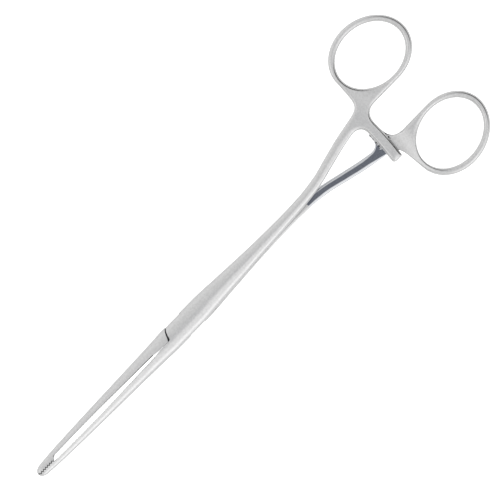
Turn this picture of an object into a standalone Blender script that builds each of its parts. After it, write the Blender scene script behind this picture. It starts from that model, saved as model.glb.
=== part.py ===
"""Uterine clamp: two forged halves that cross in a box lock and turn on one pin.

The clamp lies flat. +Y runs from the jaws to the finger rings, +X to the ring of the tongue half, +Z up.
The origin is on the axis of the pin, at the underside of the lock. Lengths are metres.
The halves cross at the pin. Behind the lock the box half lies above the parting plane and the tongue half
below it, each with a flat face towards the other, and their shanks part towards coplanar finger rings.
Each half is first drawn with its ring at -X and its shank above the parting plane. The tongue half is then
turned half a turn about the clamp's length, which puts its ring at +X and its shank below.
"""

import math

import bmesh
import bpy
import numpy as np
from mathutils import Matrix, Vector
from mathutils.geometry import delaunay_2d_cdt

MM = 0.001

# Lock
LOCK_WIDTH = 10.4 * MM
LOCK_HEIGHT = 7.8 * MM
LOCK_FLAT = 8.5 * MM  # the full section reaches this far in front of and behind the pin
LOCK_EDGE_ROLL = 4.4 * MM  # width of the rounded flank on each side
PARTING_Z = LOCK_HEIGHT / 2
PIN_RADIUS = 1.5 * MM
PIN_CLEARANCE = 0.1 * MM
PIN_SKIN = 0.9 * MM  # the pin's hole is blind: this much of the upper plate covers it
TONGUE_THICKNESS = 2.3 * MM
TONGUE_RADIUS = 3.9 * MM
TONGUE_LOBE = 14.0 * MM  # how far the tongue reaches into the jaw and into the shank
TONGUE_SIDE = 0.25 * MM  # the tongue's flank stays this far inside the lock's
SLIDE_CLEARANCE = 0.15 * MM
SLOT_SWEEP_MARGIN = 1.5  # degrees past each end of the range
OPENING = 40.0  # degrees that the halves open

# Jaws
JAW_REACH = 87.2 * MM
JAW_ROOT = 16.6 * MM
JAW_ROOT_WIDTH = 9.75 * MM
JAW_MIDDLE_WIDTH = 7.4 * MM  # three fifths of the way from root to tip
JAW_MIDDLE_HEIGHT = 5.4 * MM
NOSE = 4.0 * MM  # length of the rounded end
NOSE_BLUNTNESS = 2.3  # 2 is an ellipse, more is blunter
NOSE_WIDTH = 5.0 * MM
NOSE_HEIGHT = 4.1 * MM
JAW_SEAM = 0.16 * MM  # half the gap between the closed jaws at their roots
JAW_BOW = 1.0 * MM  # half the gap between the closed jaws at its widest
BOW_START = 13.7 * MM
TIP_TEETH = 7
TIP_TOOTH_PITCH = 1.22 * MM
TIP_TOOTH_DEPTH = 0.7 * MM
TIP_TOOTH_OFFSET = 0.25 * MM  # the tooth line lies this far towards the box half's jaw
TIP_TOOTH_GAP = 0.26 * MM
SERRATION_PITCH = 0.9 * MM
SERRATION_DEPTH = 0.14 * MM

# Shanks
PAIR_WIDTH = 6.14 * MM  # both shanks together where they are narrowest
SPLIT_BEFORE_RING = 53.6 * MM  # the shanks part this far before the middle of the rings
SHANK_WIDTH = 4.6 * MM
SHANK_RISE = 3.2 * MM  # height of a shank above the parting plane
SHANK_FLAT_GAP = 0.15 * MM  # each flat face keeps this distance to the parting plane
SHANK_CROWN = 1.3 * MM  # where the shanks are apart, their facing sides are rounded off over this height
HEEL_END = 34.0 * MM  # the box's heel, beside the tongue half's shank, ends here
YOKE_BEFORE_RING = 34.2 * MM  # from here on the handle is drawn from its plan outline
YOKE_SPREAD = 6.8 * MM  # middle of the shank from the clamp's axis there
YOKE_LEAN = 0.18  # the shanks lean apart by this much for each unit of length there
YOKE_LENGTH = 8.6 * MM  # straight part of the shank's outer edge past the yoke
BEND_PULL = 7.4 * MM  # how slowly that edge bends away

# Finger rings
RING_OPENING = (25.4 * MM, 31.6 * MM)
RING_LEAN = 6.2  # degrees that the opening's far end leans towards the clamp's axis
RING_BAND = (2.6 * MM, 2.75 * MM)  # at the ring's sides and ends
RIM_LEAN = 11.0  # the outer edge leans more than the opening
RIM_SHIFT = (-0.3 * MM, 0.3 * MM)  # middle of the outer edge from the middle of the opening
RING_SPREAD = 23.2 * MM
RING_DISTANCE = 134.0 * MM
RING_THICKNESS = 4.2 * MM
RING_ROLL = 1.25 * MM
RING_STRAIGHT = 12.5 * MM  # the ring's inner side runs straight this far before its middle
LANDING_ANGLE = 275  # degrees round the ring where the shank's outer edge meets it
LANDING_PULL = 12.6 * MM

# Ratchet
ARM_BEFORE_RING = 21.35 * MM  # the arms are arcs this far before the middle of the rings
ARM_WIDTH = 5.0 * MM
ARM_SHIFT = 3.5 * MM  # the middle of each arm's arc lies this far from the pin, towards its own ring
TONGUE_ARM_EXTRA = 0.6 * MM  # the tongue half's arm is this much wider, towards the pin
ARM_RISE = 2.5 * MM
ARM_CORNERS = (0.6 * MM, 1.5 * MM)  # outer and inner corner of an arm's end
ARM_FILLET = 5.8 * MM  # between ring and arm
WINDOW_STRAIGHT = 4.6 * MM  # straight part of the shank's inner edge past the yoke
WINDOW_FILLET = 4.0 * MM  # between shank and arm
BOX_ARM_REACH = 15.5 * MM  # past the clamp's axis
TONGUE_ARM_REACH = 1.0 * MM
ARM_ROLL = 1.1 * MM
RATCHET_PITCH = 1.9 * MM
RATCHET_DEPTH = 0.6 * MM
BOX_RATCHET_TEETH = 6
TONGUE_RATCHET_TEETH = 4
BOX_RATCHET_START = 0.6 * MM  # first tooth's place past the clamp's axis, seen from the arm's own ring
TONGUE_RATCHET_START = -7.4 * MM

# How finely the round surfaces are divided
ROLL_STEPS = (0.0, 0.05, 0.18, 0.42, 0.7, 1.0)
NOSE_STEPS = (0.003, 0.02, 0.06, 0.13, 0.24, 0.4, 0.6, 0.8)
OUTLINE_STEP = 2.1 * MM
WEB_STEP = 1.7 * MM
RING_SEGMENTS = 44
PIN_SEGMENTS = 32
SLOT_STEP = 4  # degrees

STEEL = (0.62, 0.63, 0.64, 1.0)


def monotone(knots):
    """A smooth curve through (place, value) knots that never overshoots them."""
    places = np.array([k[0] for k in knots])
    values = np.array([k[1] for k in knots])
    steps = np.diff(places)
    slopes = np.diff(values) / steps
    tangents = np.zeros(len(knots))
    for i in range(1, len(knots) - 1):
        if slopes[i - 1] * slopes[i] > 0:
            w1 = 2 * steps[i] + steps[i - 1]
            w2 = steps[i] + 2 * steps[i - 1]
            tangents[i] = (w1 + w2) / (w1 / slopes[i - 1] + w2 / slopes[i])

    def value(place):
        place = min(max(place, places[0]), places[-1])
        i = min(int(np.searchsorted(places, place, side="right")) - 1, len(steps) - 1)
        i = max(i, 0)
        t = (place - places[i]) / steps[i]
        start = (2 * t**3 - 3 * t**2 + 1) * values[i] + (t**3 - 2 * t**2 + t) * steps[i] * tangents[i]
        end = (3 * t**2 - 2 * t**3) * values[i + 1] + (t**3 - t**2) * steps[i] * tangents[i + 1]
        return float(start + end)

    return value


def between(a, b, share):
    return a + (b - a) * share


def stations(start, end, count):
    return [between(start, end, i / count) for i in range(count)]


# Places along the clamp that follow from the sizes above
JAW_MIDDLE = between(JAW_ROOT, JAW_REACH, 0.615)
SPLIT = RING_DISTANCE - SPLIT_BEFORE_RING
PAIR_WAIST = between(LOCK_FLAT, SPLIT, 0.716)
YOKE = RING_DISTANCE - YOKE_BEFORE_RING
ARM_RADIUS = RING_DISTANCE - ARM_BEFORE_RING

# Plan edges and heights along the clamp, as smooth curves through the named sizes
SPLIT_OUTER = SHANK_WIDTH * 0.96
outer_edge = monotone(
    [
        (-JAW_REACH, NOSE_WIDTH / 2),
        (-JAW_REACH + NOSE * 3, between(NOSE_WIDTH, JAW_MIDDLE_WIDTH, 0.55) / 2),
        (-JAW_MIDDLE, JAW_MIDDLE_WIDTH / 2),
        (-JAW_ROOT, JAW_ROOT_WIDTH / 2),
        (-LOCK_FLAT, LOCK_WIDTH / 2),
        (LOCK_FLAT, LOCK_WIDTH / 2),
        (between(LOCK_FLAT, PAIR_WAIST, 0.32), between(LOCK_WIDTH, PAIR_WIDTH, 0.4) / 2),
        (between(LOCK_FLAT, PAIR_WAIST, 0.64), between(LOCK_WIDTH, PAIR_WIDTH, 0.8) / 2),
        (PAIR_WAIST, PAIR_WIDTH / 2),
        (between(PAIR_WAIST, SPLIT, 0.5), between(PAIR_WIDTH / 2, SPLIT_OUTER, 0.17)),
        (SPLIT, SPLIT_OUTER),
        (between(SPLIT, YOKE, 0.5), between(SPLIT_OUTER, YOKE_SPREAD + SHANK_WIDTH / 2, 0.5)),
        (YOKE, YOKE_SPREAD + SHANK_WIDTH / 2),
        (YOKE + YOKE_LENGTH, YOKE_SPREAD + SHANK_WIDTH / 2 + YOKE_LEAN * YOKE_LENGTH),
    ]
)
inner_edge = monotone(
    [
        (LOCK_FLAT * 0.7, LOCK_WIDTH / 2),
        (between(LOCK_FLAT, PAIR_WAIST, 0.15), LOCK_WIDTH / 2 * 0.86),
        (between(LOCK_FLAT, PAIR_WAIST, 0.32), LOCK_WIDTH / 2 * 0.74),
        (between(LOCK_FLAT, PAIR_WAIST, 0.64), PAIR_WIDTH / 2 * 0.91),
        (PAIR_WAIST, PAIR_WIDTH / 2 * 0.62),
        (between(PAIR_WAIST, SPLIT, 0.6), PAIR_WIDTH / 2 * 0.36),
        (SPLIT, 0.0),
        (between(SPLIT, YOKE, 0.5), -(YOKE_SPREAD - SHANK_WIDTH / 2) * 0.5),
        (YOKE, -(YOKE_SPREAD - SHANK_WIDTH / 2)),
        (YOKE + YOKE_LENGTH, -(YOKE_SPREAD - SHANK_WIDTH / 2) - YOKE_LEAN * YOKE_LENGTH),
    ]
)
RING_RIM = (RING_OPENING[0] + 2 * RING_BAND[0], RING_OPENING[1] + 2 * RING_BAND[1])
ARM_OUTER = ARM_RADIUS + ARM_WIDTH / 2
ARM_INNER = ARM_RADIUS - ARM_WIDTH / 2
RAMP_START = ARM_OUTER + 0.4 * MM
RAMP_END = ARM_OUTER + 3.3 * MM
rise_above = monotone(
    [
        (-JAW_REACH, NOSE_HEIGHT / 2),
        (-JAW_MIDDLE, JAW_MIDDLE_HEIGHT / 2),
        (-LOCK_FLAT, PARTING_Z),
        (LOCK_FLAT, PARTING_Z),
        (between(LOCK_FLAT, PAIR_WAIST, 0.7), between(PARTING_Z, SHANK_RISE, 0.85)),
        (SPLIT, SHANK_RISE),
        (ARM_INNER, ARM_RISE),
        (RAMP_START, ARM_RISE),
        (RAMP_END, RING_THICKNESS / 2),
    ]
)
drop_below = monotone([(RAMP_START, -SHANK_FLAT_GAP), (RAMP_END, RING_THICKNESS / 2)])
widest_level = monotone(
    [
        (SPLIT - 9 * MM, SHANK_FLAT_GAP + 0.5 * MM),
        (SPLIT, SHANK_FLAT_GAP + SHANK_CROWN),
        (YOKE, SHANK_FLAT_GAP + SHANK_CROWN),
        (ARM_INNER, SHANK_FLAT_GAP + 0.5 * MM),
        (RAMP_START, SHANK_FLAT_GAP + 0.5 * MM),
        (RAMP_END, 0.0),
    ]
)
flat_edge_roll = monotone(
    [
        (SPLIT - 9 * MM, 0.35 * MM),
        (SPLIT, SHANK_WIDTH * 0.4),
        (YOKE, SHANK_WIDTH * 0.4),
        (ARM_INNER, 0.5 * MM),
        (RAMP_START, 0.5 * MM),
        (RAMP_END, RING_ROLL),
    ]
)
edge_roll = monotone(
    [
        (between(SPLIT, YOKE, 0.8), SHANK_WIDTH * 0.46),
        (ARM_INNER, ARM_ROLL * 1.2),
        (ARM_RADIUS, ARM_ROLL),
        (ARM_OUTER, ARM_ROLL),
        (RAMP_END, RING_ROLL),
    ]
)


def nose(y):
    """Share of the full width and height that the rounded end of the jaws has at y."""
    share = min((y + JAW_REACH) / NOSE, 1.0)
    return (1 - (1 - share) ** NOSE_BLUNTNESS) ** (1 / NOSE_BLUNTNESS)


def rolled(share):
    """Height of a rounded edge, as a share of its full height, at a share of its width from the outline."""
    return math.sqrt(max(0.0, 1 - (1 - min(share, 1.0)) ** 2))


def levels(place, inset, top_roll, bottom_roll, below, middle):
    """Upper and lower surface of a half at a distance from its outline."""
    above = rise_above(place) * nose(place)
    top = PARTING_Z + middle + (above - middle) * rolled(inset / top_roll)
    bottom = PARTING_Z + middle - (below + middle) * rolled(inset / bottom_roll)
    return top, bottom


def section(y, whole):
    """Loop of (x, z) around a half at y. A whole section reaches down to the underside of the lock."""
    left = -outer_edge(y) * nose(y)
    right = -left if y < LOCK_FLAT * 0.7 else inner_edge(y)
    width = right - left
    top_roll = min(LOCK_EDGE_ROLL, width * 0.46)
    if y > SPLIT:
        top_roll = min(top_roll, edge_roll(y))
    if whole:
        heel = min(max((y - LOCK_FLAT) / (HEEL_END - LOCK_FLAT), 0.0), 1.0)
        below, middle, bottom_roll = rise_above(y) * nose(y), widest_level(y) * heel, top_roll
    else:
        below, middle, bottom_roll = drop_below(y), widest_level(y), flat_edge_roll(y)
    insets = [step * top_roll for step in ROLL_STEPS]
    heights = [levels(y, inset, top_roll, bottom_roll, below, middle) for inset in insets]
    loop = [(left + d, h[0]) for d, h in zip(insets, heights)]
    loop += [(right - d, h[0]) for d, h in zip(reversed(insets), reversed(heights))]
    loop += [(right - d, h[1]) for d, h in zip(insets[1:], heights[1:])]
    loop += [(left + d, h[1]) for d, h in zip(reversed(insets[1:]), reversed(heights[1:]))]
    return loop


def loft(bm, places, closed_end):
    """Skins sections along y, from (y, whole) places."""
    loops = []
    for y, whole in places:
        loops.append([bm.verts.new((x, y, z)) for x, z in section(y, whole)])
    for first, second in zip(loops, loops[1:]):
        count = len(first)
        for i in range(count):
            j = (i + 1) % count
            bm.faces.new((first[i], first[j], second[j], second[i]))
    bm.faces.new(loops[0])
    if closed_end:
        bm.faces.new(loops[-1])


def bezier(start, start_pull, end_pull, end, count):
    """Points after start along a cubic curve, up to and including end."""
    points = []
    for i in range(1, count + 1):
        t = i / count
        a, b, c, d = (1 - t) ** 3, 3 * t * (1 - t) ** 2, 3 * t * t * (1 - t), t**3
        x = a * start[0] + b * start_pull[0] + c * end_pull[0] + d * end[0]
        y = a * start[1] + b * start_pull[1] + c * end_pull[1] + d * end[1]
        points.append((x, y))
    return points


def on_arc(radius, x):
    return (x, math.sqrt(radius**2 - x**2))


def on_arm(radius, x):
    return (x, math.sqrt(radius**2 - (x + ARM_SHIFT) ** 2))


def ring_point(size, lean, shift, degrees):
    """Point of a ring's ellipse, whose far end leans towards the clamp's axis."""
    angle = math.radians(degrees)
    turn = math.radians(lean)
    x = size[0] / 2 * math.cos(angle)
    y = size[1] / 2 * math.sin(angle)
    return (
        -RING_SPREAD + shift[0] + x * math.cos(turn) + y * math.sin(turn),
        RING_DISTANCE + shift[1] + y * math.cos(turn) - x * math.sin(turn),
    )


def corner(middle, radius, turns):
    """Points of a rounded corner at angles in degrees."""
    points = []
    for degrees in turns:
        angle = math.radians(degrees)
        points.append((middle[0] + radius * math.cos(angle), middle[1] + radius * math.sin(angle)))
    return points


def rim_point(degrees):
    return ring_point(RING_RIM, RIM_LEAN, RIM_SHIFT, degrees)


def opening_point(degrees):
    return ring_point(RING_OPENING, RING_LEAN, (0, 0), degrees)


def handle_outline(arm_reach, arm_inner):
    """Plan outline of yoke, ring and ratchet arm, from the shank's outer edge round to its inner edge."""
    start = (-outer_edge(YOKE), YOKE)
    bend = (start[0] - YOKE_LEAN * YOKE_LENGTH, YOKE + YOKE_LENGTH)
    outline = [(between(start[0], bend[0], i / 4), between(YOKE, bend[1], i / 4)) for i in range(5)]
    landing = rim_point(LANDING_ANGLE)
    past_landing = rim_point(LANDING_ANGLE + 1)
    slope = (past_landing[1] - landing[1]) / (past_landing[0] - landing[0])
    outline += bezier(
        bend,
        (bend[0] - YOKE_LEAN * BEND_PULL, bend[1] + BEND_PULL),
        (landing[0] + LANDING_PULL, landing[1] + LANDING_PULL * slope),
        landing,
        12,
    )
    side_angle = math.degrees(math.atan(RING_RIM[1] / RING_RIM[0] * math.tan(math.radians(RIM_LEAN))))
    ring_steps = 42
    for i in range(1, ring_steps + 1):
        outline.append(rim_point(between(LANDING_ANGLE, side_angle, i / ring_steps)))
    inner_side, straight_start = outline[-1]
    straight_end = (inner_side, RING_DISTANCE - RING_STRAIGHT)
    for i in range(1, 6):
        outline.append((inner_side, between(straight_start, straight_end[1], i / 6)))
    outline.append(straight_end)
    arm_top = on_arm(ARM_OUTER, inner_side + ARM_FILLET)
    outline += bezier(
        straight_end,
        (inner_side, straight_end[1] - ARM_FILLET * 0.8),
        (arm_top[0] - ARM_FILLET * 0.6, arm_top[1] + 0.3 * MM),
        arm_top,
        7,
    )
    run_end = arm_reach - ARM_CORNERS[0]
    count = max(1, round((run_end - arm_top[0]) / OUTLINE_STEP))
    for i in range(1, count + 1):
        outline.append(on_arm(ARM_OUTER, between(arm_top[0], run_end, i / count)))
    outline += corner(on_arm(ARM_OUTER - ARM_CORNERS[0], run_end), ARM_CORNERS[0], (60, 30, 0))
    run_end = arm_reach - ARM_CORNERS[1]
    outline += corner(on_arm(arm_inner + ARM_CORNERS[1], run_end), ARM_CORNERS[1], (0, -30, -60))
    window_side = inner_edge(YOKE) - YOKE_LEAN * WINDOW_STRAIGHT
    window_top = on_arm(arm_inner, window_side + WINDOW_FILLET)
    count = max(1, round((run_end - window_top[0]) / OUTLINE_STEP))
    for i in range(count + 1):
        outline.append(on_arm(arm_inner, between(run_end, window_top[0], i / count)))
    side = (window_side, YOKE + WINDOW_STRAIGHT)
    pull = WINDOW_FILLET * 0.8
    outline += bezier(
        window_top,
        (window_top[0] - pull, window_top[1]),
        (side[0] - YOKE_LEAN * pull, side[1] + pull),
        side,
        6,
    )
    for i in range(1, 4):
        outline.append((between(side[0], inner_edge(YOKE), i / 4), between(side[1], YOKE, i / 4)))
    outline.append((inner_edge(YOKE), YOKE))
    return outline


def segment_distance(point, starts, ends):
    """Least distance from a point to many segments."""
    along = ends - starts
    share = ((point - starts) * along).sum(axis=1) / (along**2).sum(axis=1)
    nearest = starts + along * np.clip(share, 0, 1)[:, None]
    return float(np.sqrt(((point - nearest) ** 2).sum(axis=1)).min())


def inside(point, loops):
    """Even-odd test against closed loops of points."""
    x, y = point
    odd = False
    for loop in loops:
        for (x1, y1), (x2, y2) in zip(loop, loop[1:] + loop[:1]):
            if (y1 > y) != (y2 > y) and x < x1 + (y - y1) / (y2 - y1) * (x2 - x1):
                odd = not odd
    return odd


def inset_rows(loop, closed, distance, taken):
    """Rows of points at the roll's steps inside an outline that has the material on its right-hand side."""
    rows = []
    count = len(loop)
    indices = range(count) if closed else range(1, count - 1)
    for step in ROLL_STEPS[1:]:
        row = []
        for i in indices:
            before, here, after = (np.array(loop[(i + k) % count]) for k in (-1, 0, 1))
            first = (here - before) / np.linalg.norm(here - before)
            second = (after - here) / np.linalg.norm(after - here)
            along = (first + second) / np.linalg.norm(first + second)
            normal = np.array((along[1], -along[0]))
            inset = step * edge_roll(math.hypot(*here))
            point = here + normal * inset
            least = 0.04 * MM if step < 0.3 else 0.2 * MM
            free = distance(point) > inset * 0.93 and point[1] > YOKE + 0.5 * MM
            free = free and all(math.dist(point, other) > least for other in taken)
            row.append(tuple(point) if free else None)
            if free:
                taken.append(tuple(point))
        rows.append(row)
    return rows


def handle(bm, arm_reach, arm_inner):
    """Yoke, finger ring and ratchet arm: two surfaces over one plan, joined along the outline."""
    outline = handle_outline(arm_reach, arm_inner)
    opening = [opening_point(360 * i / RING_SEGMENTS) for i in range(RING_SEGMENTS)]
    cut = section(YOKE, False)
    half = len(ROLL_STEPS) * 2
    cut_top = cut[1 : half - 1]
    cut_bottom = list(reversed(cut[half:]))
    edges_from = np.array(outline[:-1] + opening)
    edges_to = np.array(outline[1:] + opening[1:] + opening[:1])

    def distance(point):
        return segment_distance(np.array(point), edges_from, edges_to)

    taken = []
    outer_rows = inset_rows(outline, False, distance, taken)
    opening_rows = inset_rows(opening, True, distance, taken)
    border = outline + [(x, YOKE) for x, z in reversed(cut_top)]
    low = np.array(border).min(axis=0)
    high = np.array(border).max(axis=0)
    points = border + opening
    links = [(i, (i + 1) % len(border)) for i in range(len(border))]
    links += [(len(border) + i, len(border) + (i + 1) % len(opening)) for i in range(len(opening))]
    for rows, closed in ((outer_rows, False), (opening_rows, True)):
        for step, row in enumerate(rows):
            numbers = []
            for point in row:
                numbers.append(len(points) if point else None)
                if point:
                    points.append(point)
            if closed:
                numbers.append(numbers[0])
            else:
                ends = (len(border) - 1 - step, len(outline) + step)
                numbers = [ends[0]] + numbers + [ends[1]]
            links += [(a, b) for a, b in zip(numbers, numbers[1:]) if a is not None and b is not None]
    arcs = stations(YOKE + WEB_STEP, RAMP_START, 8) + stations(RAMP_START, RAMP_END, 6)
    arcs += stations(RAMP_END, RING_DISTANCE, 8)
    for radius in arcs:
        last = None
        for x in np.arange(low[0], high[0], WEB_STEP):
            place = on_arc(radius, float(x))
            free = inside(place, [border, opening]) and distance(place) > edge_roll(radius) + WEB_STEP / 4
            if free and place[1] > YOKE + WEB_STEP / 2:
                points.append(place)
                if last is not None:
                    links.append((last, len(points) - 1))
                last = len(points) - 1
            else:
                last = None
    found = delaunay_2d_cdt([Vector(p) for p in points], links, [], 0, 1e-7)
    plan, triangles, sources = found[0], found[2], found[3]
    upper = []
    lower = []
    for place, source in zip(plan, sources):
        x, y = place
        index = min(source, default=len(points))
        radius = math.hypot(x, y)
        if len(outline) <= index < len(border):
            k = len(cut_top) - 1 - (index - len(outline))
            upper.append(bm.verts.new((x, YOKE, cut_top[k][1])))
            lower.append(bm.verts.new((x, YOKE, cut_bottom[k][1])))
            continue
        on_edge = index < len(border) + len(opening)
        inset = 0.0 if on_edge else distance((x, y))
        at = YOKE if index in (0, len(outline) - 1) else radius
        top, bottom = levels(
            at, inset, edge_roll(at), flat_edge_roll(at), drop_below(at), widest_level(at)
        )
        upper.append(bm.verts.new((x, y, top)))
        lower.append(upper[-1] if on_edge else bm.verts.new((x, y, bottom)))
    for triangle in triangles:
        middle = sum((plan[i] for i in triangle), Vector((0, 0))) / 3
        if inside(middle, [border, opening]):
            bm.faces.new([upper[i] for i in triangle])
            bm.faces.new([lower[i] for i in reversed(triangle)])


def smooth(mesh):
    mesh.shade_smooth()
    mesh.set_sharp_from_angle(angle=math.radians(30))


def finish(bm, name):
    """Makes an object from a mesh, with its faces pointing out."""
    bmesh.ops.remove_doubles(bm, verts=bm.verts, dist=1e-6)
    bmesh.ops.recalc_face_normals(bm, faces=bm.faces)
    mesh = bpy.data.meshes.new(name)
    bm.to_mesh(mesh)
    bm.free()
    smooth(mesh)
    obj = bpy.data.objects.new(name, mesh)
    bpy.context.scene.collection.objects.link(obj)
    return obj


def prism(name, outline, low, high):
    """Upright prism over a plan outline."""
    bm = bmesh.new()
    face = bm.faces.new([bm.verts.new((x, y, low)) for x, y in outline])
    raised = bmesh.ops.extrude_face_region(bm, geom=[face])["geom"]
    corners = [part for part in raised if isinstance(part, bmesh.types.BMVert)]
    bmesh.ops.translate(bm, vec=(0, 0, high - low), verts=corners)
    return finish(bm, name)


def tool(obj):
    """Hides an object that only shapes others."""
    obj.hide_render = True
    obj.display_type = "WIRE"
    return obj


def combine(target, other, operation):
    modifier = target.modifiers.new(other.name, "BOOLEAN")
    modifier.operation = operation
    modifier.solver = "EXACT"
    modifier.object = tool(other)


def shape_booleans(obj):
    """Turns a piece's Booleans into its mesh, and removes the shapes that they used."""
    tools = [modifier.object for modifier in obj.modifiers]
    for modifier in [m for shape in tools for m in shape.modifiers]:
        tools.append(modifier.object)
    graph = bpy.context.evaluated_depsgraph_get()
    mesh = bpy.data.meshes.new_from_object(obj.evaluated_get(graph))
    mesh.name = obj.name
    obj.modifiers.clear()
    obj.data = mesh
    for shape in tools:
        bpy.data.objects.remove(shape, do_unlink=True)


def gap_half_width():
    """Half the gap between the closed jaws, from their roots to the tip teeth."""
    end = JAW_REACH - TIP_TEETH * TIP_TOOTH_PITCH
    return monotone(
        [
            (-end, JAW_BOW * 0.8),
            (-between(BOW_START, end, 0.85), JAW_BOW * 0.92),
            (-between(BOW_START, end, 0.62), JAW_BOW),
            (-between(BOW_START, end, 0.25), JAW_BOW * 0.64),
            (-between(BOW_START, end, 0.04), JAW_BOW * 0.38),
            (-BOW_START, JAW_SEAM),
        ]
    )


# Front shoulder of the lock in plan, from the flank to the clamp's axis, in shares of the lock's width
SHOULDER = [
    (-0.56, -0.64),
    (-0.46, -0.66),
    (-0.35, -0.755),
    (-0.23, -0.812),
    (-0.13, -0.846),
    (-0.05, -0.878),
    (0.0, -0.94),
]
SLIT_SHIFT = 0.16 * MM  # each side of the slit moves this far from the shoulder line, along x and along y


def shoulder(shift):
    return [(x * LOCK_WIDTH + shift, y * LOCK_WIDTH + shift) for x, y in SHOULDER]


def jaw_face(side):
    """Inner face of a jaw in plan, from the lock to past the tip. side is +1 for the box half's jaw."""
    gap = gap_half_width()
    start = -SHOULDER[-1][1] * LOCK_WIDTH + JAW_SEAM
    points = [(side * JAW_SEAM, -start), (side * JAW_SEAM, -BOW_START)]
    y = -BOW_START - 3 * MM
    teeth_end = -JAW_REACH + TIP_TEETH * TIP_TOOTH_PITCH
    while y > teeth_end + 3 * MM:
        points.append((side * gap(y), y))
        points.append((side * (gap(y) + SERRATION_DEPTH), y - SERRATION_PITCH / 2))
        y -= SERRATION_PITCH
    line = TIP_TOOTH_OFFSET + side * TIP_TOOTH_GAP / 2
    if side < 0:
        points.append((-gap(teeth_end), teeth_end + 1.8 * MM))
    for i in range(TIP_TEETH):
        tooth = teeth_end - i * TIP_TOOTH_PITCH
        crest = line + TIP_TOOTH_DEPTH / 2
        root = line - TIP_TOOTH_DEPTH / 2
        points.append((crest, tooth))
        points.append((root, tooth - TIP_TOOTH_PITCH * 0.5))
    points.append((line, -JAW_REACH - 0.4 * MM))
    points.append((line, -JAW_REACH - 3 * MM))
    return points


def front_parting(side):
    """Outline of what is cut away from a half in front of the lock: side +1 cuts the box half."""
    line = shoulder(side * SLIT_SHIFT) + jaw_face(side)
    far = LOCK_WIDTH
    if side > 0:
        return line + [(-far, -JAW_REACH - 3 * MM), (-far, line[0][1])]
    return line + [(far, -JAW_REACH - 3 * MM), (far, far), (-far, far), (-far, line[0][1])]


def heel_line(shift):
    """Rear shoulder and heel in plan, on the underside: box half in front, tongue half behind."""
    rear = [(-x * LOCK_WIDTH, -y * LOCK_WIDTH) for x, y in SHOULDER]
    start = rear[-1]
    edge = -outer_edge(HEEL_END)
    heel = bezier(
        start,
        (start[0], start[1] + 4 * MM),
        (edge * 0.75, HEEL_END - 5 * MM),
        (edge * 1.25, HEEL_END),
        8,
    )
    return [(x + shift, y + shift) for x, y in rear + heel]


def ray_reach(outline, degrees):
    """How far a ray from the pin's axis runs inside an outline around it."""
    direction = (math.cos(math.radians(degrees)), math.sin(math.radians(degrees)))
    best = 0.0
    for (x1, y1), (x2, y2) in zip(outline, outline[1:] + outline[:1]):
        ex, ey = x2 - x1, y2 - y1
        crossing = direction[0] * ey - direction[1] * ex
        if abs(crossing) < 1e-12:
            continue
        along = (x1 * ey - y1 * ex) / crossing
        share = (x1 * direction[1] - y1 * direction[0]) / crossing
        if along > 0 and -1e-9 <= share <= 1 + 1e-9:
            best = max(best, along)
    return best


def lobe(sign):
    """Outline around the pin's disc and one end of the tongue. sign -1 is the end in the jaw."""
    side = LOCK_WIDTH / 2 - TONGUE_SIDE
    far_side = outer_edge(-TONGUE_LOBE) - 2 * TONGUE_SIDE
    corners = [
        (side, LOCK_WIDTH * 0.3),
        (side, LOCK_WIDTH * 0.62),
        (far_side, TONGUE_LOBE),
        (0.35 * MM, TONGUE_LOBE),
    ]
    disc = [
        (TONGUE_RADIUS * math.cos(math.radians(a)), TONGUE_RADIUS * math.sin(math.radians(a)))
        for a in range(0, 360, 10)
    ]
    points = [(sign * x, sign * y) for x, y in corners + disc]
    return convex(points)


def convex(points):
    """Convex hull of plan points, counter-clockwise."""
    points = sorted(set(points))

    def chain(ordered):
        hull = []
        for p in ordered:
            while len(hull) > 1:
                (ax, ay), (bx, by) = hull[-2], hull[-1]
                if (bx - ax) * (p[1] - ay) - (by - ay) * (p[0] - ax) > 0:
                    break
                hull.pop()
            hull.append(p)
        return hull[:-1]

    return chain(points) + chain(points[::-1])


LOBES = [lobe(-1), lobe(1)]


def tongue_reach(degrees):
    return max(ray_reach(outline, degrees) for outline in LOBES)


def slot_reach(degrees):
    """The slot holds the tongue at every angle of the opening."""
    turned = np.arange(-SLOT_SWEEP_MARGIN, OPENING + SLOT_SWEEP_MARGIN, 1.0)
    return max(tongue_reach(degrees + turn) for turn in turned) + SLIDE_CLEARANCE


def polar_outline(reach):
    outline = []
    for degrees in range(0, 360, SLOT_STEP):
        distance = reach(degrees)
        angle = math.radians(degrees)
        outline.append((distance * math.cos(angle), distance * math.sin(angle)))
    return outline


def cylinder(name, radius, low, high):
    outline = [
        (radius * math.cos(2 * math.pi * i / PIN_SEGMENTS), radius * math.sin(2 * math.pi * i / PIN_SEGMENTS))
        for i in range(PIN_SEGMENTS)
    ]
    return prism(name, outline, low, high)


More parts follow.
